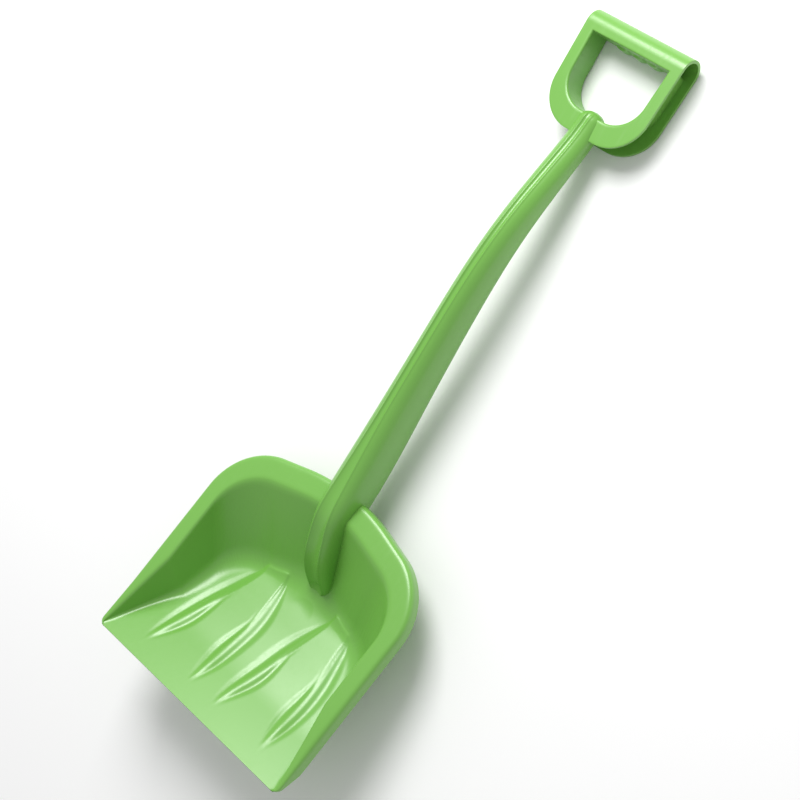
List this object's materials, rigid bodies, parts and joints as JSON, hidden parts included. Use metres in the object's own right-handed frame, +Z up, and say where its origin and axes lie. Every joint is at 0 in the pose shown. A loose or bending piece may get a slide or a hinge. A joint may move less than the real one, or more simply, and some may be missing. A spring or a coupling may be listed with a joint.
{
  "type": "snow shovel",
  "caption": "Child's moulded snow shovel with a deep round-cornered scoop, a curved hollow shaft and a D-shaped hand grip.",
  "frame": {"origin": "middle of the shovel's footprint, on the ground it lies on", "axes": "+Z up, with the shovel lying on its back; +Y from the blade's front edge to the grip, along the shaft; +X across it, the shovel being symmetric about X = 0"},
  "size_m": [0.235, 0.643, 0.0841],
  "materials": {
    "scoop_plastic": "glossy leaf-green polypropylene moulding with a very fine orange-peel surface",
    "shaft_plastic": "the same glossy leaf-green polypropylene",
    "grip_plastic": "the same glossy leaf-green polypropylene",
    "screw_steel": "bright zinc-plated steel"
  },
  "bodies": {
    "root": {"scoop": "scoop_plastic", "shaft": "shaft_plastic", "grip": "grip_plastic", "scoop_screws": "screw_steel", "grip_screws": "screw_steel"}
  },
  "joints": []
}
